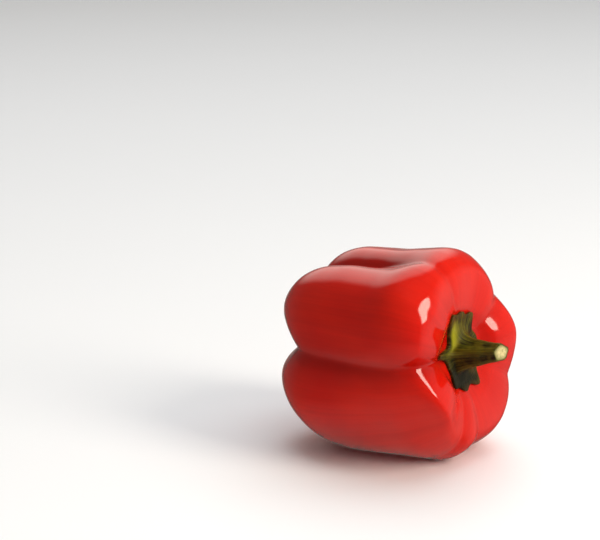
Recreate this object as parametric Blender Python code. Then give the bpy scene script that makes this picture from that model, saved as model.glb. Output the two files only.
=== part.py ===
"""A red bell pepper lying on its side: the lobed fruit and its green stalk with the calyx.

The pepper is shaped about its own axis, which runs along +X from the blossom end to the stalk. Angles run
round that axis from +Y through +Z. The whole is then tipped a little and set down on the surface at Z = 0.
"""
import math
from collections import namedtuple

import bmesh
import bpy
from mathutils import Vector

MM = 0.001

# Mesh density: steps round the axis and from pole to pole
FRUIT_ROUND = 72
FRUIT_ALONG = 36
STALK_ROUND = 60

# How the pepper lies: the stalk's end is raised, and its axis runs at this height above the surface
PITCH = math.radians(1.0)
AXIS_X = -6.8
AXIS_Y = 2.2
AXIS_Z = 48.1

# The axis leans sideways and upwards by so much over this length
LEAN_Y = -3.3
LEAN_Z = 1.1
LEAN_LENGTH = 40.0

# The hollow that holds the stalk lies off the axis by so much. That fades out along the meridians.
FOOT_Y = -1.8
FOOT_Z = 1.5
FOOT_FADE = (0.28, 0.50)

# Meridians over a lobe's crown and down a full crease: radius and height along the axis, in millimetres,
# from the foot of the stalk over the shoulder and the side to the blossom end. Both have as many stations.
CROWN = ((0, 37.5), (7.6, 37.5), (14.2, 39), (20.8, 43), (30.6, 44.4), (35.6, 43), (40.2, 36),
         (43.7, 26.5), (44.1, 14.5), (44.2, 2), (43.9, -12), (42.2, -24.4), (37.2, -35.5), (28, -45),
         (18, -45.7), (9.5, -40), (0, -35.2))
CREASE = ((0, 37.5), (7.6, 37.3), (14.3, 37.8), (20.4, 39), (26.6, 38.6), (32.3, 35.4), (36.6, 29.9),
          (38.8, 21.9), (39.5, 11.4), (39.1, 0), (38.6, -11.4), (36.1, -22.8), (30.4, -31.4), (22.8, -35.6),
          (15.2, -36.6), (7.6, -36.1), (0, -35.2))

# Each lobe follows a crease at an angle in degrees. A crease has a depth at the stalk's end, on the side
# and at the blossom end, as a share of the full crease. A lobe has a reach at either end, as a share of
# the crown's radius, and its shoulder and its blossom end stand out along the axis, in millimetres.
Lobe = namedtuple("Lobe", "crease stem_depth side_depth tip_depth stem_reach tip_reach shoulder tip")
LOBES = (
    Lobe(36, 0.58, 0.54, 0.60, 1.04, 0.95, -5.3, -0.5),
    Lobe(107, 0.48, 1.65, 0.96, 1.21, 1.11, 0.8, -0.2),
    Lobe(178.5, 0.94, 1.01, 1.10, 0.86, 1.16, 4.1, 1.4),
    Lobe(263, 0.26, 0.04, 0.00, 1.14, 1.08, 0.0, 0.5),
    Lobe(284, 0.22, 0.05, 0.80, 1.32, 1.23, -1.6, 0.0),
    Lobe(334, 0.36, 0.67, 1.00, 0.95, 0.97, 2.5, 0.0),
)

# Where the three stretches of a meridian meet, as shares of it, and how broad the creases are in each: a
# smaller power makes a narrower crease. The base keeps the bottom of a crease round.
STEM_TO_SIDE = (0.36, 0.56)
SIDE_TO_TIP = (0.62, 0.80)
REACH_CHANGE = (0.35, 0.70)
STEM_POWER = 0.40
SIDE_POWER = 0.30
TIP_POWER = 0.375
CREASE_BASE = 0.015
SHOULDER_AT = 0.28
SHOULDER_SPREAD = 0.13
TIP_AT = 0.86
TIP_SPREAD = 0.12
REACH_POWER = 0.7

# Halvings in the search for the fruit's height under the calyx
SEAT_HALVINGS = 24

# Shallow dents in the lobes, or bulges where the depth is negative: the angle, the share of the way from
# pole to pole, the half widths of both, and the depth in millimetres
Dent = namedtuple("Dent", "angle t wide long depth")
DENTS = (
    Dent(118, 0.50, 16, 0.07, 1.8),
    Dent(80, 0.58, 16, 0.08, 1.5),
    Dent(244, 0.59, 15, 0.13, -2.0),
    Dent(266, 0.36, 13, 0.07, -1.2),
    Dent(139, 0.30, 9.5, 0.05, 2.0),
    Dent(164, 0.29, 13.5, 0.065, -0.5),
    Dent(152, 0.365, 18.5, 0.063, -1.1),
)

# Calyx: the radius of its edge between the points, and each point's angle, length and half width
CALYX_RADIUS = 10.5
Sepal = namedtuple("Sepal", "angle length width")
SEPALS = (
    Sepal(30, 1.8, 20),
    Sepal(68, 7.2, 14),
    Sepal(94, 7.5, 14),
    Sepal(120, 11.0, 15),
    Sepal(173, 6.6, 9),
    Sepal(248, 4.5, 17),
    Sepal(280, 6.5, 17),
    Sepal(307, 8.5, 12),
    Sepal(332, 4.0, 13),
)

# Stalk: one row a ring, from the middle of its underside round the calyx's edge and along the stem to the
# middle of the cut end. A ring's radius is a share of the calyx's edge plus a length, and it stands at a
# rise above the fruit's own surface. All lengths are in millimetres.
Ring = namedtuple("Ring", "edge_share radius rise ribs")
GAP = 0.3
STALK_RINGS = (
    Ring(0.00, 0.0, GAP, 0.0),
    Ring(0.25, 0.0, GAP, 0.0),
    Ring(0.50, 0.0, GAP, 0.0),
    Ring(0.70, 0.0, GAP, 0.0),
    Ring(0.86, 0.0, GAP, 0.0),
    Ring(0.97, 0.0, GAP, 0.0),
    Ring(1.00, 0.0, 0.7, 0.0),
    Ring(0.98, 0.0, 1.2, 0.0),
    Ring(0.90, 0.0, 1.6, 0.1),
    Ring(0.76, 0.0, 1.8, 0.3),
    Ring(0.50, 2.2, 2.2, 0.6),
    Ring(0.24, 4.6, 3.1, 1.0),
    Ring(0.08, 6.0, 4.8, 1.0),
    Ring(0.02, 6.0, 7.2, 1.0),
    Ring(0.00, 5.7, 9.8, 1.0),
    Ring(0.00, 5.2, 12.6, 1.0),
    Ring(0.00, 4.65, 15.4, 1.0),
    Ring(0.00, 4.2, 18.2, 1.0),
    Ring(0.00, 3.95, 20.8, 1.0),
    Ring(0.00, 3.8, 22.0, 0.9),
    Ring(0.00, 3.2, 22.5, 0.7),
    Ring(0.00, 1.7, 22.7, 0.3),
    Ring(0.00, 0.0, 22.8, 0.0),
)

# Ribs along the stem, how far it curves off its axis over its length, and how much its cut end slants, which
# begins at one rise and is full at another
RIB_COUNT = 5
RIB_DEPTH = 0.08
RIB_ANGLE = 20.0
CURVE_LENGTH = 22.0
CURVE_Y = 0.3
CURVE_Z = 3.5
CURVE_POWER = 1.2
CUT_SLANT = 0.36
CUT_SLANT_RISE = (13.0, 20.5)

# The block below the surface that the pepper lies on, in metres
CUTTER_SIZE = 0.2

# Colour, roughness and metallic value of each piece
FRUIT_COLOUR = (0.62, 0.014, 0.010, 1.0)
FRUIT_ROUGHNESS = 0.16
STALK_COLOUR = (0.16, 0.15, 0.022, 1.0)
STALK_ROUGHNESS = 0.50


def smooth(low, high, x):
    """Rise from 0 at low to 1 at high without a corner."""
    s = min(max((x - low) / (high - low), 0.0), 1.0)
    return s * s * (3 - 2 * s)


def hump(x, at, spread):
    """A bell-shaped rise to 1 at one place."""
    return math.exp(-((x - at) / spread) ** 2)


def turn_from(angle, mark):
    """How far an angle lies past a mark, from -180 to 180 degrees."""
    return (angle - mark + 180) % 360 - 180


def mix(a, b, share):
    """The value at a share of the way from a to b."""
    return a + (b - a) * share


def turned(point):
    """A meridian's neighbour beyond a pole, on the far side of the axis."""
    return (-point[0], point[1])


def along(meridian, t):
    """Radius and height at share t of a smooth curve through a meridian's stations."""
    last = len(meridian) - 1
    station = min(max(t, 0.0), 1.0) * last
    k = min(int(station), last - 1)
    f = station - k
    before = meridian[k - 1] if k > 0 else turned(meridian[1])
    after = meridian[k + 2] if k + 2 <= last else turned(meridian[last - 1])
    a, b, c, d = before, meridian[k], meridian[k + 1], after
    return tuple(
        0.5 * (2 * b[i] + (c[i] - a[i]) * f + (2 * a[i] - 5 * b[i] + 4 * c[i] - d[i]) * f ** 2
               + (3 * b[i] - a[i] - 3 * c[i] + d[i]) * f ** 3)
        for i in (0, 1))


def around(marks, angle):
    """A value that eases from mark to mark round the axis. Marks are pairs of angle and value, in order."""
    for k, (start, value) in enumerate(marks):
        end, following = marks[(k + 1) % len(marks)]
        width = (end - start) % 360
        passed = (angle - start) % 360
        if passed <= width:
            return mix(value, following, smooth(0, 1, passed / width))
    return marks[0][1]


def lobe_widths():
    return [(LOBES[(k + 1) % len(LOBES)].crease - lobe.crease) % 360 for k, lobe in enumerate(LOBES)]


def crease_marks(field):
    return [(lobe.crease, getattr(lobe, field)) for lobe in LOBES]


def crown_marks(field):
    return [(lobe.crease + width / 2, getattr(lobe, field)) for lobe, width in zip(LOBES, WIDTHS)]


WIDTHS = lobe_widths()
MARKS = {field: crease_marks(field) for field in ("stem_depth", "side_depth", "tip_depth")}
MARKS.update({field: crown_marks(field) for field in ("stem_reach", "tip_reach", "shoulder", "tip")})


def fullness(angle, power):
    """0 at the bottom of a crease, 1 on a lobe's crown."""
    for lobe, width in zip(LOBES, WIDTHS):
        passed = (angle - lobe.crease) % 360
        if passed < width:
            break
    raised = (math.sin(math.pi * passed / width) ** 2 + CREASE_BASE) / (1 + CREASE_BASE)
    lowest = (CREASE_BASE / (1 + CREASE_BASE)) ** power
    return (raised ** power - lowest) / (1 - lowest)


def fruit_surface(angle, t):
    """Radius and height of the fruit at an angle round the axis and a share t of the way to its far pole."""
    tip = smooth(*SIDE_TO_TIP, t)
    stem = 1 - smooth(*STEM_TO_SIDE, t)
    side = 1 - stem - tip
    depth = (stem * around(MARKS["stem_depth"], angle) + side * around(MARKS["side_depth"], angle)
             + tip * around(MARKS["tip_depth"], angle))
    power = stem * STEM_POWER + side * SIDE_POWER + tip * TIP_POWER
    sunk = depth * (1 - fullness(angle, power))
    stem_reach = around(MARKS["stem_reach"], angle)
    tip_reach = around(MARKS["tip_reach"], angle)
    reach = mix(stem_reach, tip_reach, smooth(*REACH_CHANGE, t))
    swell = 1 + (reach - 1) * max(math.sin(math.pi * t), 0.0) ** REACH_POWER
    crown_radius, crown_height = along(CROWN, t)
    crease_radius, crease_height = along(CREASE, t)
    crown_height += around(MARKS["shoulder"], angle) * hump(t, SHOULDER_AT, SHOULDER_SPREAD)
    crown_height -= around(MARKS["tip"], angle) * hump(t, TIP_AT, TIP_SPREAD)
    radius = mix(crown_radius, crease_radius, sunk) * swell
    for dent in DENTS:
        radius -= dent.depth * hump(turn_from(angle, dent.angle), 0, dent.wide) * hump(t, dent.t, dent.long)
    return radius, mix(crown_height, crease_height, sunk)


def seat(angle, radius):
    """Height of the fruit's surface near the stalk, at a distance from the axis."""
    low, high = 0.0, SHOULDER_AT
    for _ in range(SEAT_HALVINGS):
        middle = (low + high) / 2
        if fruit_surface(angle, middle)[0] < radius:
            low = middle
        else:
            high = middle
    return fruit_surface(angle, low)[1]


def calyx_edge(angle):
    """Radius of the calyx's edge, with its points."""
    radius = CALYX_RADIUS
    for sepal in SEPALS:
        radius += sepal.length * hump(turn_from(angle, sepal.angle), 0, sepal.width)
    return radius


def place(angle, radius, height, sideways, upwards):
    """A point of the pepper, in metres, from its place about the leaning axis."""
    turn = math.radians(angle)
    share = height / LEAN_LENGTH
    y = radius * math.cos(turn) + LEAN_Y * share + sideways
    z = radius * math.sin(turn) + LEAN_Z * share + upwards
    return Vector((height, y, z)) * MM


def fruit_point(angle, t):
    """A point on the fruit at an angle round the axis and a share t of the way from pole to pole."""
    foot = 1 - smooth(*FOOT_FADE, t)
    return place(angle, *fruit_surface(angle, t), FOOT_Y * foot, FOOT_Z * foot)


def stalk_point(angle, t):
    """A point on the ring of the stalk that lies at share t from the underside's middle to the cut end's."""
    ring = STALK_RINGS[round(t * (len(STALK_RINGS) - 1))]
    rib = 1 + RIB_DEPTH * ring.ribs * math.cos(RIB_COUNT * math.radians(angle - RIB_ANGLE))
    radius = (ring.edge_share * calyx_edge(angle) + ring.radius) * rib
    bend = (ring.rise / CURVE_LENGTH) ** CURVE_POWER
    sideways = FOOT_Y + CURVE_Y * bend
    upwards = FOOT_Z + CURVE_Z * bend
    slant = CUT_SLANT * smooth(*CUT_SLANT_RISE, ring.rise) * radius * math.cos(math.radians(angle))
    return place(angle, radius, seat(angle, radius) + ring.rise + slant, sideways, upwards)


def grown(name, around_axis, pole_to_pole, point):
    """A closed body: a sphere whose points are moved to where point(angle, share) says."""
    bm = bmesh.new()
    bmesh.ops.create_uvsphere(bm, u_segments=around_axis, v_segments=pole_to_pole, radius=1)
    step = 360 / around_axis
    for vertex in bm.verts:
        x, y, z = vertex.co
        t = round(math.acos(max(-1.0, min(1.0, z))) / math.pi * pole_to_pole) / pole_to_pole
        angle = round(math.degrees(math.atan2(y, x)) / step) * step % 360
        vertex.co = point(angle, t)
    bmesh.ops.recalc_face_normals(bm, faces=bm.faces)
    if bm.calc_volume(signed=True) < 0:
        bmesh.ops.reverse_faces(bm, faces=bm.faces)
    mesh = bpy.data.meshes.new(name)
    bm.to_mesh(mesh)
    bm.free()
    mesh.shade_smooth()
    return bpy.data.objects.new(name, mesh)


def material(name, colour, roughness):
    made = bpy.data.materials.new(name)
    made.use_nodes = True
    shader = made.node_tree.nodes["Principled BSDF"]
    shader.inputs["Base Color"].default_value = colour
    shader.inputs["Roughness"].default_value = roughness
    shader.inputs["Metallic"].default_value = 0.0
    return made


def collection(name):
    made = bpy.data.collections.new(name)
    bpy.context.scene.collection.children.link(made)
    return made


def pose_empty(group):
    """The frame that tips the pepper and sets it down. Its pieces are its children."""
    pose = bpy.data.objects.new("pose", None)
    pose.location = Vector((AXIS_X, AXIS_Y, AXIS_Z)) * MM
    pose.rotation_euler = (0, -PITCH, 0)
    group.objects.link(pose)
    return pose


def make_fruit(group, pose):
    fruit = grown("fruit", FRUIT_ROUND, FRUIT_ALONG, fruit_point)
    fruit.data.materials.append(material("red_skin", FRUIT_COLOUR, FRUIT_ROUGHNESS))
    fruit.parent = pose
    group.objects.link(fruit)
    return fruit


def make_stalk(group, pose):
    stalk = grown("stalk", STALK_ROUND, len(STALK_RINGS) - 1, stalk_point)
    stalk.data.materials.append(material("green_stalk", STALK_COLOUR, STALK_ROUGHNESS))
    stalk.parent = pose
    group.objects.link(stalk)
    return stalk


def flatten_underside(piece, group):
    """Cut off what would sink below the surface that the pepper lies on."""
    bpy.ops.mesh.primitive_cube_add(size=CUTTER_SIZE, location=(0, 0, -CUTTER_SIZE / 2))
    block = bpy.context.object
    block.name = "surface_cutter"
    block.hide_render = True
    block.display_type = "WIRE"
    for holder in list(block.users_collection):
        holder.objects.unlink(block)
    group.objects.link(block)
    cut = piece.modifiers.new("flat_underside", "BOOLEAN")
    cut.operation = "DIFFERENCE"
    cut.solver = "EXACT"
    cut.object = block


def main():
    for existing in list(bpy.data.objects):
        bpy.data.objects.remove(existing)
    pieces = collection("bell_pepper")
    cutters = collection("cutters")
    pose = pose_empty(pieces)
    fruit = make_fruit(pieces, pose)
    make_stalk(pieces, pose)
    flatten_underside(fruit, cutters)


main()
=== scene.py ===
import math
from collections import namedtuple
from functools import lru_cache

import bmesh
import bpy
from mathutils import Matrix, Vector


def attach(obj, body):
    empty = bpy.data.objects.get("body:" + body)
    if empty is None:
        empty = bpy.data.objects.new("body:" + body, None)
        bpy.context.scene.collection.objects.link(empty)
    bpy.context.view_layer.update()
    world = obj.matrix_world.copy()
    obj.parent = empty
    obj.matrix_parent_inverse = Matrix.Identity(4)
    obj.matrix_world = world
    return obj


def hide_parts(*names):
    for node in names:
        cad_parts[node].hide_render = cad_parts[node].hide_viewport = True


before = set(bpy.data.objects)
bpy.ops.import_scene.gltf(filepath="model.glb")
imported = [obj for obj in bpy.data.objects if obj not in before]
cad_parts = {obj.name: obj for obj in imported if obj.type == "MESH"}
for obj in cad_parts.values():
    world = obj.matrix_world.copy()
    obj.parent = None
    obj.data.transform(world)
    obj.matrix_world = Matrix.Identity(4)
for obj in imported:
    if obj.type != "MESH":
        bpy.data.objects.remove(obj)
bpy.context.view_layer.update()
MM = 0.001

# Mesh density of the finished pieces: steps round the axis and from pole to pole
FRUIT_ROUND = 320
FRUIT_ALONG = 208
STALK_ROUND = 240
STALK_STEPS = 5

# How the pepper lies: the stalk's end is raised, and its axis runs at this height above the surface
PITCH = math.radians(1.0)
AXIS_X = -6.8
AXIS_Y = 2.2
AXIS_Z = 48.1
POSE = Matrix.Translation(Vector((AXIS_X, AXIS_Y, AXIS_Z)) * MM) @ Matrix.Rotation(-PITCH, 4, "Y")

# The axis leans sideways and upwards by so much over this length
LEAN_Y = -3.3
LEAN_Z = 1.1
LEAN_LENGTH = 40.0

# The hollow that holds the stalk lies off the axis by so much. That fades out along the meridians.
FOOT_Y = -1.8
FOOT_Z = 1.5
FOOT_FADE = (0.28, 0.50)

# Meridians over a lobe's crown and down a full crease: radius and height along the axis, in millimetres
CROWN = ((0, 37.5), (7.6, 37.5), (14.2, 39), (20.8, 43), (30.6, 44.4), (35.6, 43), (40.2, 36), (43.7, 26.5),
         (44.1, 14.5), (44.2, 2), (43.9, -12), (42.2, -24.4), (37.2, -35.5), (28, -45), (18, -45.7),
         (9.5, -40), (0, -35.2))
CREASE = ((0, 37.5), (7.6, 37.3), (14.3, 37.8), (20.4, 39), (26.6, 38.6), (32.3, 35.4), (36.6, 29.9),
          (38.8, 21.9), (39.5, 11.4), (39.1, 0), (38.6, -11.4), (36.1, -22.8), (30.4, -31.4), (22.8, -35.6),
          (15.2, -36.6), (7.6, -36.1), (0, -35.2))

# Each lobe follows a crease at an angle in degrees, with its depth at the stalk's end, on the side and at
# the blossom end, then the lobe's reach at either end, and how its shoulder and blossom end stand out
Lobe = namedtuple("Lobe", "crease stem_depth side_depth tip_depth stem_reach tip_reach shoulder tip")
LOBES = (
    Lobe(36, 0.58, 0.54, 0.60, 1.04, 0.95, -5.3, -0.5),
    Lobe(107, 0.48, 1.65, 0.96, 1.21, 1.11, 0.8, -0.2),
    Lobe(178.5, 0.94, 1.01, 1.10, 0.86, 1.16, 4.1, 1.4),
    Lobe(263, 0.26, 0.04, 0.00, 1.14, 1.08, 0.0, 0.5),
    Lobe(284, 0.22, 0.05, 0.80, 1.32, 1.23, -1.6, 0.0),
    Lobe(334, 0.36, 0.67, 1.00, 0.95, 0.97, 2.5, 0.0),
)
STEM_TO_SIDE = (0.36, 0.56)
SIDE_TO_TIP = (0.62, 0.80)
REACH_CHANGE = (0.35, 0.70)
STEM_POWER = 0.40
SIDE_POWER = 0.30
TIP_POWER = 0.375
CREASE_BASE = 0.015
SHOULDER_AT = 0.28
SHOULDER_SPREAD = 0.13
TIP_AT = 0.86
TIP_SPREAD = 0.12
REACH_POWER = 0.7
SEAT_HALVINGS = 24

# Shallow dents, or bulges where the depth is negative: angle, share of the way from pole to pole, half
# widths of both, depth in millimetres
Dent = namedtuple("Dent", "angle t wide long depth")
DENTS = (
    Dent(118, 0.50, 16, 0.07, 1.8),
    Dent(80, 0.58, 16, 0.08, 1.5),
    Dent(244, 0.59, 15, 0.13, -2.0),
    Dent(266, 0.36, 13, 0.07, -1.2),
    Dent(139, 0.30, 9.5, 0.05, 2.0),
    Dent(164, 0.29, 13.5, 0.065, -0.5),
    Dent(152, 0.365, 18.5, 0.063, -1.1),
)

# Fine relief of the skin, in millimetres: it only ever goes inwards, so the skin stays inside the solid's
# box. A wave has a rate along each axis of the fruit, a start and a depth. A ridge has a count round the
# fruit and a start, and weaves a little on its way from pole to pole.
SKIN_INSET = 0.12
WAVES = ((0.11, 0.05, 0.08, 0.3, 0.16), (-0.07, 0.12, 0.05, 1.9, 0.14), (0.05, -0.09, 0.15, 4.2, 0.10),
         (0.21, 0.16, -0.12, 2.6, 0.05), (-0.17, 0.09, 0.24, 5.3, 0.04))
RIDGE_DEPTH = 0.10
RIDGES = ((17, 0.6), (26, 2.9), (41, 4.4))
RIDGE_TWIST = 2.5
RIDGE_WEAVE = 3
FOLD_DEPTH = 0.5
FOLD_WIDTH = 3.2

# Calyx: the radius of its edge between the points, and each point's angle, length and half width
CALYX_RADIUS = 10.5
Sepal = namedtuple("Sepal", "angle length width")
SEPALS = (
    Sepal(30, 1.8, 20),
    Sepal(68, 7.2, 14),
    Sepal(94, 7.5, 14),
    Sepal(120, 11.0, 15),
    Sepal(173, 6.6, 9),
    Sepal(248, 4.5, 17),
    Sepal(280, 6.5, 17),
    Sepal(307, 8.5, 12),
    Sepal(332, 4.0, 13),
)

# Stalk: a ring's radius is a share of the calyx's edge plus a length, and it stands at a rise above the
# fruit. The pale cut end begins at a ring counted from the underside.
Ring = namedtuple("Ring", "edge_share radius rise ribs")
SUNK = -0.5
STALK_RINGS = (
    Ring(0.00, 0.0, SUNK, 0.0),
    Ring(0.50, 0.0, SUNK, 0.0),
    Ring(0.86, 0.0, SUNK, 0.0),
    Ring(0.985, 0.0, SUNK, 0.0),
    Ring(1.00, 0.0, 0.5, 0.0),
    Ring(0.985, 0.0, 1.1, 0.0),
    Ring(0.90, 0.0, 1.6, 0.1),
    Ring(0.76, 0.0, 1.8, 0.3),
    Ring(0.50, 2.2, 2.2, 0.6),
    Ring(0.24, 4.6, 3.1, 1.0),
    Ring(0.08, 6.0, 4.8, 1.0),
    Ring(0.02, 6.0, 7.2, 1.0),
    Ring(0.00, 5.7, 9.8, 1.0),
    Ring(0.00, 5.2, 12.6, 1.0),
    Ring(0.00, 4.65, 15.4, 1.0),
    Ring(0.00, 4.2, 18.2, 1.0),
    Ring(0.00, 3.95, 20.8, 1.0),
    Ring(0.00, 3.75, 22.0, 0.9),
    Ring(0.00, 3.45, 22.3, 0.7),
    Ring(0.00, 3.05, 22.25, 0.5),
    Ring(0.00, 1.7, 22.5, 0.3),
    Ring(0.00, 0.0, 22.55, 0.0),
)
CUT_FROM_RING = 18.5

# Tones of the stalk and calyx: each is strongest at an angle and a ring, with half widths in degrees and
# rings. The first is a painted highlight, yellow where light falls on the calyx; the second is painted
# shade, dark on the calyx's shaded side. The points' edges turn brown between two shares of the calyx's
# edge and two lengths of a point.
Tone = namedtuple("Tone", "name angle wide row rows")
TONES = (
    Tone("painted_highlight", 137, 27, 7.7, 1.5),
    Tone("painted_shade", 262, 60, 6.5, 3.6),
)
BROWN_SHARES = (0.72, 1.0)
BROWN_LENGTHS = (3.0, 8.0)
ROWS_LENGTHWISE = 10

# Ribs along the stem, how far it curves off its axis over its length, and how much its cut end slants,
# which begins at one rise and is full at another
RIB_COUNT = 5
RIB_DEPTH = 0.08
RIB_ANGLE = 20.0
CURVE_LENGTH = 22.0
CURVE_Y = 0.3
CURVE_Z = 3.5
CURVE_POWER = 1.2
CUT_SLANT = 0.36
CUT_SLANT_RISE = (13.0, 20.5)

# The photograph: its size in pixels, where the pepper's axis point lies in it, and the camera's place
PHOTO_WIDTH = 600
PHOTO_HEIGHT = 540
AXIS_PIXEL = (395.1, 340.9)
PIXELS_PER_MM = 2.27
CAMERA_AZIMUTH = math.radians(35.9)
CAMERA_ELEVATION = math.radians(16.1)
CAMERA_DISTANCE = 800.0
SENSOR = 36.0

# The floor's size, in metres
FLOOR_SIZE = 8

# The surroundings: how bright they are, their colour, and soft glows. A glow's direction is to the camera's
# right, towards it and up, and it fades between two cosines.
SKY_DIM = 0.12
SKY_COLOUR = (1.0, 0.94, 0.86, 1)
Glow = namedtuple("Glow", "direction outer inner strength")
GLOWS = (
    Glow((-0.15, -0.83, 0.54), 0.84, 0.95, 1.1),
    Glow((0.99, -0.09, -0.09), 0.55, 0.95, 0.40),
    Glow((0.0, 0.0, -1.0), 0.50, 0.95, 0.20),
    Glow((0.05, -0.96, -0.20), 0.92, 1.0, 0.22),
)

# Softboxes: direction as a glow's, distance, width and height, power, colour, and whether they show in the
# gloss
Softbox = namedtuple("Softbox", "name direction distance width height power colour shows")
SOFTBOXES = (
    Softbox("key", (0.73, 0.45, 0.51), 1.2, 0.39, 0.69, 10.8, (1.0, 0.90, 0.77), True),
    Softbox("overhead", (0.2, -0.15, 1.0), 2.6, 3.1, 3.1, 56.0, (0.97, 0.98, 1.0), False),
    Softbox("front", (0.5, 0.9, 0.6), 1.6, 1.2, 1.2, 3.5, (1.0, 0.98, 0.95), False),
)


def smooth(low, high, x):
    """Rise from 0 at low to 1 at high without a corner."""
    s = min(max((x - low) / (high - low), 0.0), 1.0)
    return s * s * (3 - 2 * s)


def hump(x, at, spread):
    """A bell-shaped rise to 1 at one place."""
    return math.exp(-((x - at) / spread) ** 2)


def turn_from(angle, mark):
    """How far an angle lies past a mark, from -180 to 180 degrees."""
    return (angle - mark + 180) % 360 - 180


def mix(a, b, share):
    """The value at a share of the way from a to b."""
    return a + (b - a) * share


def curve_through(rows, place):
    """A smooth curve through rows of numbers, at a place counted in rows."""
    last = len(rows) - 1
    k = min(max(int(place), 0), last - 1)
    f = place - k
    a = rows[max(k - 1, 0)]
    b = rows[k]
    c = rows[k + 1]
    d = rows[min(k + 2, last)]
    return tuple(
        0.5 * (2 * b[i] + (c[i] - a[i]) * f + (2 * a[i] - 5 * b[i] + 4 * c[i] - d[i]) * f ** 2
               + (3 * b[i] - a[i] - 3 * c[i] + d[i]) * f ** 3)
        for i in range(len(b)))


def over_poles(meridian):
    """A meridian with a neighbour beyond each pole, on the far side of the axis."""
    first = meridian[1]
    last = meridian[-2]
    return ((-first[0], first[1]), *meridian, (-last[0], last[1]))


CROWN_LINE = over_poles(CROWN)
CREASE_LINE = over_poles(CREASE)


@lru_cache(maxsize=None)
def along(line, t):
    """Radius and height at share t of a meridian."""
    return curve_through(line, 1 + t * (len(line) - 3))


@lru_cache(maxsize=None)
def around(field, angle):
    """A lobe's value that eases from mark to mark round the axis."""
    marks = MARKS[field]
    for k, (start, value) in enumerate(marks):
        end, following = marks[(k + 1) % len(marks)]
        width = (end - start) % 360
        passed = (angle - start) % 360
        if passed <= width:
            return mix(value, following, smooth(0, 1, passed / width))
    return marks[0][1]


WIDTHS = [(LOBES[(k + 1) % len(LOBES)].crease - lobe.crease) % 360 for k, lobe in enumerate(LOBES)]
MARKS = {field: tuple((lobe.crease, getattr(lobe, field)) for lobe in LOBES)
         for field in ("stem_depth", "side_depth", "tip_depth")}
MARKS.update({field: tuple((lobe.crease + width / 2, getattr(lobe, field))
                           for lobe, width in zip(LOBES, WIDTHS))
              for field in ("stem_reach", "tip_reach", "shoulder", "tip")})


@lru_cache(maxsize=None)
def lobe_share(angle):
    """How far an angle lies across its lobe, from 0 to 1, and the lobe's width in degrees."""
    for lobe, width in zip(LOBES, WIDTHS):
        passed = (angle - lobe.crease) % 360
        if passed < width:
            return passed / width, width
    return 0.0, width


def fullness(angle, power):
    """0 at the bottom of a crease, 1 on a lobe's crown."""
    share, _ = lobe_share(angle)
    raised = (math.sin(math.pi * share) ** 2 + CREASE_BASE) / (1 + CREASE_BASE)
    lowest = (CREASE_BASE / (1 + CREASE_BASE)) ** power
    return (raised ** power - lowest) / (1 - lowest)


def crease_depth(angle, t):
    """Depth of the creases at a place, as a share of the full crease."""
    tip = smooth(*SIDE_TO_TIP, t)
    stem = 1 - smooth(*STEM_TO_SIDE, t)
    side = 1 - stem - tip
    depth = (stem * around("stem_depth", angle) + side * around("side_depth", angle)
             + tip * around("tip_depth", angle))
    return depth, stem * STEM_POWER + side * SIDE_POWER + tip * TIP_POWER


def fruit_surface(angle, t):
    """Radius and height of the fruit, and how deep in a crease, at an angle and a share t of the way."""
    depth, power = crease_depth(angle, t)
    sunk = depth * (1 - fullness(angle, power))
    stem_reach = around("stem_reach", angle)
    tip_reach = around("tip_reach", angle)
    reach = mix(stem_reach, tip_reach, smooth(*REACH_CHANGE, t))
    swell = 1 + (reach - 1) * max(math.sin(math.pi * t), 0.0) ** REACH_POWER
    crown_radius, crown_height = along(CROWN_LINE, t)
    crease_radius, crease_height = along(CREASE_LINE, t)
    crown_height += around("shoulder", angle) * hump(t, SHOULDER_AT, SHOULDER_SPREAD)
    crown_height -= around("tip", angle) * hump(t, TIP_AT, TIP_SPREAD)
    radius = mix(crown_radius, crease_radius, sunk) * swell
    for dent in DENTS:
        radius -= dent.depth * hump(turn_from(angle, dent.angle), 0, dent.wide) * hump(t, dent.t, dent.long)
    return radius, mix(crown_height, crease_height, sunk), sunk


def seat(angle, radius):
    """Height of the fruit's surface near the stalk, at a distance from the axis."""
    low, high = 0.0, SHOULDER_AT
    for _ in range(SEAT_HALVINGS):
        middle = (low + high) / 2
        if fruit_surface(angle, middle)[0] < radius:
            low = middle
        else:
            high = middle
    return fruit_surface(angle, low)[1]


def place(angle, radius, height, sideways, upwards):
    """A point of the lying pepper, in metres, from its place about the leaning axis."""
    turn = math.radians(angle)
    share = height / LEAN_LENGTH
    y = radius * math.cos(turn) + LEAN_Y * share + sideways
    z = radius * math.sin(turn) + LEAN_Z * share + upwards
    return POSE @ (Vector((height, y, z)) * MM)


def skin_relief(angle, t, radius):
    """How far the skin lies inside the plain form, in millimetres: slow waves and faint ridges along it."""
    turn = math.radians(angle)
    x, y, z = along(CROWN_LINE, t)[1], radius * math.cos(turn), radius * math.sin(turn)
    inward = SKIN_INSET
    for rate_x, rate_y, rate_z, start, depth in WAVES:
        inward += depth * (0.5 + 0.5 * math.sin(rate_x * x + rate_y * y + rate_z * z + start))
    side = math.sin(math.pi * t) ** 2
    for count, start in RIDGES:
        twist = start + RIDGE_TWIST * math.sin(RIDGE_WEAVE * t + start)
        inward += RIDGE_DEPTH / len(RIDGES) * side * (0.5 + 0.5 * math.sin(count * turn + twist))
    share, width = lobe_share(angle)
    from_crease = min(share, 1 - share) * width
    depth, _ = crease_depth(angle, t)
    inward += FOLD_DEPTH * min(max(depth, 0.0), 1.0) * hump(from_crease, 0, FOLD_WIDTH) * side
    return inward


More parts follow.
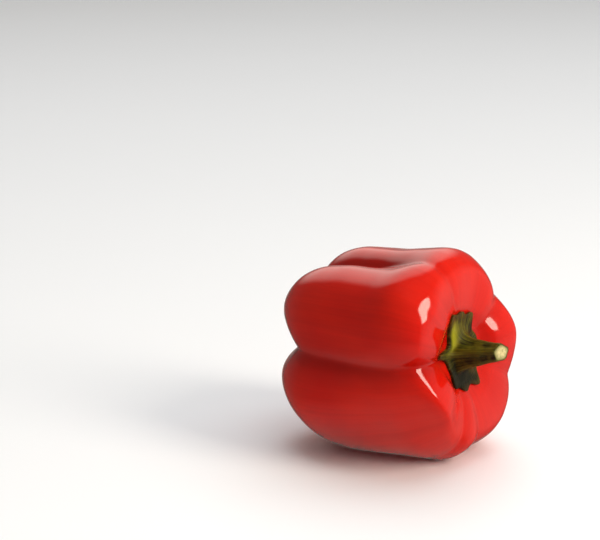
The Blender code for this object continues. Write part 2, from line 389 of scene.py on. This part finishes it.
def fruit_point(angle, t):
    """A point on the skin, how deep it lies in a crease, and its place counted lengthwise."""
    foot = 1 - smooth(*FOOT_FADE, t)
    radius, height, sunk = fruit_surface(angle, t)
    kept = 1 - skin_relief(angle, t, radius) / math.hypot(radius, height)
    point = place(angle, radius * kept, height * kept, FOOT_Y * foot, FOOT_Z * foot)
    point.z = max(point.z, 0.0)
    turn = math.radians(angle)
    return point, {"crease": sunk, "lengthwise": (math.cos(turn), math.sin(turn), t)}


@lru_cache(maxsize=None)
def calyx_edge(angle):
    """Radius of the calyx's edge, with its points."""
    radius = CALYX_RADIUS
    for sepal in SEPALS:
        radius += sepal.length * hump(turn_from(angle, sepal.angle), 0, sepal.width)
    return radius


def stalk_point(angle, t):
    """A point on the stalk at share t from the underside's middle to the cut end's, and the tones there."""
    row = t * (len(STALK_RINGS) - 1)
    ring = Ring(*curve_through(STALK_RINGS, row))
    wave = math.cos(RIB_COUNT * math.radians(angle - RIB_ANGLE))
    rib = 1 + RIB_DEPTH * ring.ribs * wave
    radius = max(ring.edge_share * calyx_edge(angle) + ring.radius, 0.0) * rib
    bend = (max(ring.rise, 0.0) / CURVE_LENGTH) ** CURVE_POWER
    sideways = FOOT_Y + CURVE_Y * bend
    upwards = FOOT_Z + CURVE_Z * bend
    slant = CUT_SLANT * smooth(*CUT_SLANT_RISE, ring.rise) * radius * math.cos(math.radians(angle))
    point = place(angle, radius, seat(angle, radius) + ring.rise + slant, sideways, upwards)
    tones = {"share": t, "rib": wave * ring.ribs}
    # The tones carry a painted highlight and painted shade for the calyx, besides its brown edges
    for tone in TONES:
        tones[tone.name] = hump(turn_from(angle, tone.angle), 0, tone.wide) * hump(row, tone.row, tone.rows)
    tones["edge"] = smooth(*BROWN_SHARES, ring.edge_share)
    tones["edge"] *= smooth(*BROWN_LENGTHS, calyx_edge(angle) - CALYX_RADIUS)
    turn = math.radians(angle)
    tones["lengthwise"] = (math.cos(turn), math.sin(turn), row / ROWS_LENGTHWISE)
    return point, tones


def grown(name, around_axis, pole_to_pole, point):
    """A closed body: a sphere whose points are moved to where point(angle, share) says."""
    bm = bmesh.new()
    bmesh.ops.create_uvsphere(bm, u_segments=around_axis, v_segments=pole_to_pole, radius=1)
    marks = []
    step = 360 / around_axis
    for vertex in bm.verts:
        x, y, z = vertex.co
        t = round(math.acos(max(-1.0, min(1.0, z))) / math.pi * pole_to_pole) / pole_to_pole
        angle = round(math.degrees(math.atan2(y, x)) / step) * step % 360
        vertex.co, mark = point(angle, t)
        marks.append(mark)
    bmesh.ops.recalc_face_normals(bm, faces=bm.faces)
    if bm.calc_volume(signed=True) < 0:
        bmesh.ops.reverse_faces(bm, faces=bm.faces)
    mesh = bpy.data.meshes.new(name)
    bm.to_mesh(mesh)
    bm.free()
    mesh.shade_smooth()
    for label, first in marks[0].items():
        if isinstance(first, tuple):
            attribute = mesh.attributes.new(label, "FLOAT_VECTOR", "POINT")
            attribute.data.foreach_set("vector", [number for mark in marks for number in mark[label]])
        else:
            attribute = mesh.attributes.new(label, "FLOAT", "POINT")
            attribute.data.foreach_set("value", [mark[label] for mark in marks])
    piece = bpy.data.objects.new(name, mesh)
    bpy.context.scene.collection.objects.link(piece)
    return piece


class Shader:
    """A material's node tree, with short calls to add to it."""

    def __init__(self, name):
        self.material = bpy.data.materials.new(name)
        self.material.use_nodes = True
        self.tree = self.material.node_tree
        self.surface = self.tree.nodes["Principled BSDF"]
        self.place = self.add("ShaderNodeTexCoord").outputs["Object"]

    def add(self, kind, **settings):
        node = self.tree.nodes.new(kind)
        for key, value in settings.items():
            setattr(node, key, value)
        return node

    def link(self, source, target):
        self.tree.links.new(source, target)

    def constant(self, **values):
        for key, value in values.items():
            self.surface.inputs[key.replace("_", " ")].default_value = value

    def attribute(self, name):
        return self.add("ShaderNodeAttribute", attribute_name=name).outputs["Fac"]

    def stretched(self, scale, source=None):
        """A place on the piece, stretched along the axes."""
        node = self.add("ShaderNodeMapping")
        node.inputs["Scale"].default_value = scale
        self.link(source or self.place, node.inputs["Vector"])
        return node.outputs["Vector"]

    def lengthwise(self, scale):
        """A place counted round the piece and along it, so that streaks can run from end to end."""
        node = self.add("ShaderNodeAttribute", attribute_name="lengthwise")
        return self.stretched(scale, node.outputs["Vector"])

    def noise(self, scale, detail=3.0, roughness=0.5, vector=None):
        node = self.add("ShaderNodeTexNoise")
        node.inputs["Scale"].default_value = scale
        node.inputs["Detail"].default_value = detail
        node.inputs["Roughness"].default_value = roughness
        self.link(vector or self.place, node.inputs["Vector"])
        return node.outputs["Fac"]

    def spread(self, source, low, high, to_low=0.0, to_high=1.0):
        """A value stretched from one range to another, and kept inside it."""
        node = self.add("ShaderNodeMapRange")
        for key, value in (("From Min", low), ("From Max", high), ("To Min", to_low), ("To Max", to_high)):
            node.inputs[key].default_value = value
        self.link(source, node.inputs["Value"])
        return node.outputs["Result"]

    def blend(self, factor, first, second):
        """A colour between two, each a socket or a colour."""
        node = self.add("ShaderNodeMix", data_type="RGBA")
        self.link(factor, node.inputs["Factor"])
        for value, socket in ((first, node.inputs["A"]), (second, node.inputs["B"])):
            if isinstance(value, tuple):
                socket.default_value = value
            else:
                self.link(value, socket)
        return node.outputs["Result"]

    def bump(self, height, distance, strength=1.0, normal=None):
        node = self.add("ShaderNodeBump")
        node.inputs["Strength"].default_value = strength
        node.inputs["Distance"].default_value = distance
        self.link(height, node.inputs["Height"])
        if normal is not None:
            self.link(normal, node.inputs["Normal"])
        return node.outputs["Normal"]


def skin_material():
    """Waxy red skin: painted shade darkening the creases, faint streaks along the fruit, soft uneven gloss.
    """
    s = Shader("red_skin")
    red = (0.56, 0.007, 0.003, 1)
    # deep: the darker red of the streaks, and also the painted shade in the creases
    deep = (0.27, 0.003, 0.001, 1)
    bright = (0.65, 0.013, 0.004, 1)
    patches = s.spread(s.noise(26, 2), 0.35, 0.7)
    streaks = s.spread(s.noise(1, 3, vector=s.lengthwise((11, 11, 1.2))), 0.45, 0.75, 0.0, 0.16)
    fine = s.spread(s.noise(1, 3, vector=s.lengthwise((60, 60, 4))), 0.45, 0.8, 0.0, 0.14)
    specks = s.spread(s.noise(900, 2), 0.6, 0.75, 0.0, 0.10)
    colour = s.blend(patches, red, bright)
    colour = s.blend(streaks, colour, deep)
    colour = s.blend(fine, colour, deep)
    colour = s.blend(specks, colour, bright)
    # Painted shade: the creases darken towards deep red the deeper they are
    colour = s.blend(s.spread(s.attribute("crease"), 0.35, 1.2, 0.0, 0.75), colour, deep)
    s.link(colour, s.surface.inputs["Base Color"])
    s.link(s.bump(s.noise(500, 2), 0.0001, 0.15), s.surface.inputs["Normal"])
    s.constant(Roughness=0.6, Specular_IOR_Level=0.0, Subsurface_Weight=0.08, Subsurface_Scale=0.002,
               Subsurface_Radius=(1.0, 0.12, 0.08), Coat_Weight=1.0, Coat_IOR=1.48, Coat_Roughness=0.095)
    return s.material


def stalk_material():
    """Olive stalk and calyx: dark between the ribs, yellower on them, with fine fibres along the stem, a
    painted highlight on the calyx's lit side and painted shade on its shaded side.
    """
    s = Shader("green_stalk")
    olive = (0.070, 0.055, 0.003, 1)
    dark = (0.008, 0.008, 0.001, 1)
    yellow = (0.40, 0.38, 0.018, 1)
    brown = (0.080, 0.040, 0.005, 1)
    fibres = s.noise(1, 5, 0.6, s.lengthwise((16, 16, 1.6)))
    colour = s.blend(s.spread(s.noise(260, 4), 0.42, 0.64), dark, olive)
    colour = s.blend(s.spread(s.attribute("rib"), -0.2, 1.1), colour, olive)
    colour = s.blend(s.spread(fibres, 0.50, 0.78, 0.0, 0.42), colour, yellow)
    # Painted highlight: a yellow patch on the calyx where the light falls
    colour = s.blend(s.spread(s.attribute("painted_highlight"), 0.1, 1.0, 0.0, 0.9), colour, yellow)
    # Painted shade: a near-black patch on the side of the calyx turned away from the light
    colour = s.blend(s.spread(s.attribute("painted_shade"), 0.1, 0.7, 0.0, 0.92), colour, dark)
    colour = s.blend(s.spread(s.attribute("edge"), 0.3, 1.0, 0.0, 0.6), colour, brown)
    s.link(colour, s.surface.inputs["Base Color"])
    s.link(s.spread(s.noise(300, 3), 0.3, 0.7, 0.34, 0.56), s.surface.inputs["Roughness"])
    coarse = s.bump(s.noise(260, 3), 0.0006, 0.6)
    s.link(s.bump(fibres, 0.0006, 0.7, coarse), s.surface.inputs["Normal"])
    s.constant(Specular_IOR_Level=0.22)
    return s.material


def cut_material():
    """Pale cut end, with a green ring near its rim and a fibrous middle."""
    s = Shader("cut_end")
    cream = (0.68, 0.58, 0.27, 1)
    green = (0.17, 0.16, 0.03, 1)
    colour = s.blend(s.spread(s.attribute("share"), 0.955, 0.90), cream, green)
    colour = s.blend(s.spread(s.noise(900, 3), 0.45, 0.72, 0.0, 0.6), colour, green)
    s.link(colour, s.surface.inputs["Base Color"])
    s.link(s.bump(s.noise(1800, 3), 0.0003, 0.8), s.surface.inputs["Normal"])
    s.constant(Roughness=0.7)
    return s.material


def floor_material():
    """Plain pale matt surface."""
    s = Shader("pale_floor")
    pale = (0.90, 0.92, 0.94, 1)
    lighter = (0.92, 0.94, 0.96, 1)
    s.link(s.blend(s.noise(3), pale, lighter), s.surface.inputs["Base Color"])
    s.constant(Roughness=0.8)
    return s.material


def make_fruit():
    """The body, in place of the solid one."""
    fruit = grown("pepper_fruit", FRUIT_ROUND, FRUIT_ALONG, fruit_point)
    fruit.data.materials.append(skin_material())
    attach(fruit, "root")
    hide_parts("fruit")


def make_stalk():
    """The stalk and its calyx, with the pale cut end as a second material."""
    steps = (len(STALK_RINGS) - 1) * STALK_STEPS
    stalk = grown("pepper_stalk", STALK_ROUND, steps, stalk_point)
    stalk.data.materials.append(stalk_material())
    stalk.data.materials.append(cut_material())
    cut_share = CUT_FROM_RING / (len(STALK_RINGS) - 1)
    shares = stalk.data.attributes["share"].data
    for face in stalk.data.polygons:
        if min(shares[v].value for v in face.vertices) >= cut_share:
            face.material_index = 1
    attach(stalk, "root")
    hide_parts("stalk")


def make_floor():
    """A floor that lights the pepper but isn't mirrored in its skin."""
    bpy.ops.mesh.primitive_plane_add(size=FLOOR_SIZE, location=(0, 0, 0))
    floor = bpy.context.object
    floor.name = "floor"
    floor.visible_glossy = False
    floor.data.materials.append(floor_material())


def camera_axes():
    """The directions to the right of the camera, up in its picture and back towards it."""
    azimuth, elevation = CAMERA_AZIMUTH, CAMERA_ELEVATION
    back = Vector((math.sin(azimuth) * math.cos(elevation), -math.cos(azimuth) * math.cos(elevation),
                   math.sin(elevation)))
    right = Vector((math.cos(azimuth), math.sin(azimuth), 0))
    return right, back.cross(right), back


def make_camera():
    """A camera at the photograph's viewing angle, turned so that the pepper lies where it lies there."""
    right, up, back = camera_axes()
    subject = Vector((AXIS_X, AXIS_Y, AXIS_Z)) * MM
    aside = (PHOTO_WIDTH / 2 - AXIS_PIXEL[0]) / PIXELS_PER_MM
    above = (AXIS_PIXEL[1] - PHOTO_HEIGHT / 2) / PIXELS_PER_MM
    aim = subject + (right * aside + up * above) * MM
    data = bpy.data.cameras.new("camera")
    data.sensor_width = SENSOR
    data.lens = SENSOR * PIXELS_PER_MM * CAMERA_DISTANCE / PHOTO_WIDTH
    camera = bpy.data.objects.new("camera", data)
    camera.location = subject + back * CAMERA_DISTANCE * MM
    camera.rotation_euler = (aim - camera.location).to_track_quat("-Z", "Y").to_euler()
    bpy.context.scene.collection.objects.link(camera)
    bpy.context.scene.camera = camera


def from_camera(direction):
    """A direction counted level to the camera's right, level towards it and up, in the row's axes."""
    to_right, to_camera, upwards = direction
    right = Vector((math.cos(CAMERA_AZIMUTH), math.sin(CAMERA_AZIMUTH), 0))
    towards = Vector((math.sin(CAMERA_AZIMUTH), -math.cos(CAMERA_AZIMUTH), 0))
    return (right * to_right + towards * to_camera + Vector((0, 0, upwards))).normalized()


def make_softbox(box):
    """A softbox that faces the pepper."""
    where = from_camera(box.direction)
    data = bpy.data.lights.new(box.name, "AREA")
    data.shape = "RECTANGLE"
    data.size = box.width
    data.size_y = box.height
    data.energy = box.power
    data.color = box.colour
    light = bpy.data.objects.new(box.name, data)
    light.location = Vector((AXIS_X, AXIS_Y, AXIS_Z)) * MM + where * box.distance
    light.rotation_euler = (-where).to_track_quat("-Z", "Y").to_euler()
    light.visible_glossy = box.shows
    bpy.context.scene.collection.objects.link(light)


def studio_sky():
    """Dim surroundings with broad soft glows in them."""
    world = bpy.data.worlds.new("studio")
    world.use_nodes = True
    tree = world.node_tree
    sky = tree.nodes["Background"]
    place = tree.nodes.new("ShaderNodeTexCoord")
    strength = None
    for glow in GLOWS:
        facing = tree.nodes.new("ShaderNodeVectorMath")
        facing.operation = "DOT_PRODUCT"
        facing.inputs[1].default_value = from_camera(glow.direction)
        tree.links.new(place.outputs["Generated"], facing.inputs[0])
        rise = tree.nodes.new("ShaderNodeMapRange")
        rise.interpolation_type = "SMOOTHSTEP"
        rise.inputs["From Min"].default_value = glow.outer
        rise.inputs["From Max"].default_value = glow.inner
        rise.inputs["To Max"].default_value = glow.strength
        tree.links.new(facing.outputs["Value"], rise.inputs["Value"])
        total = tree.nodes.new("ShaderNodeMath")
        total.inputs[0].default_value = SKY_DIM
        if strength is not None:
            tree.links.new(strength, total.inputs[0])
        tree.links.new(rise.outputs["Result"], total.inputs[1])
        strength = total.outputs["Value"]
    tree.links.new(strength, sky.inputs["Strength"])
    sky.inputs["Color"].default_value = SKY_COLOUR
    bpy.context.scene.world = world


make_fruit()
make_stalk()
make_floor()
make_camera()
for softbox in SOFTBOXES:
    make_softbox(softbox)
studio_sky()
bpy.context.scene.view_settings.view_transform = "Standard"
